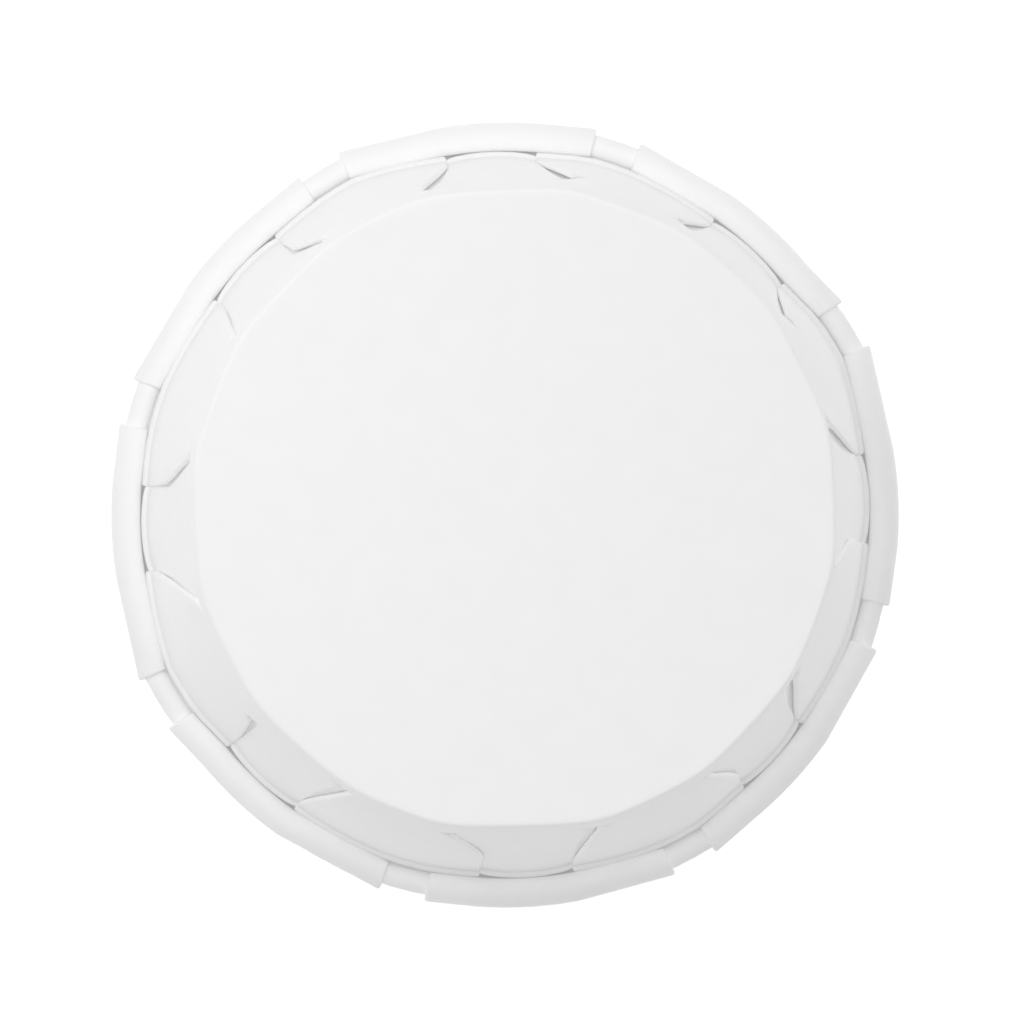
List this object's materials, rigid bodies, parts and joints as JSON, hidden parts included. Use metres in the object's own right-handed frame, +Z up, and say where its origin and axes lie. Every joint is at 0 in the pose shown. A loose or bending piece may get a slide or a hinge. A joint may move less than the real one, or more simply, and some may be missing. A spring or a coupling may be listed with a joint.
{
  "type": "paper portion cup",
  "caption": "Small round paper portion cup with box pleats, a flat base and an outward rolled rim, standing upside down on its rim.",
  "frame": {"origin": "on the surface the cup stands on, under the middle of its rolled rim", "axes": "+Z up along the cup's axis, out of the flat base, away from the open mouth; +X to the picture's right and +Y to its top"},
  "size_m": [0.062, 0.0618, 0.033],
  "materials": {
    "paper": "matte"
  },
  "bodies": {
    "root": {"cup": "paper"}
  },
  "joints": []
}
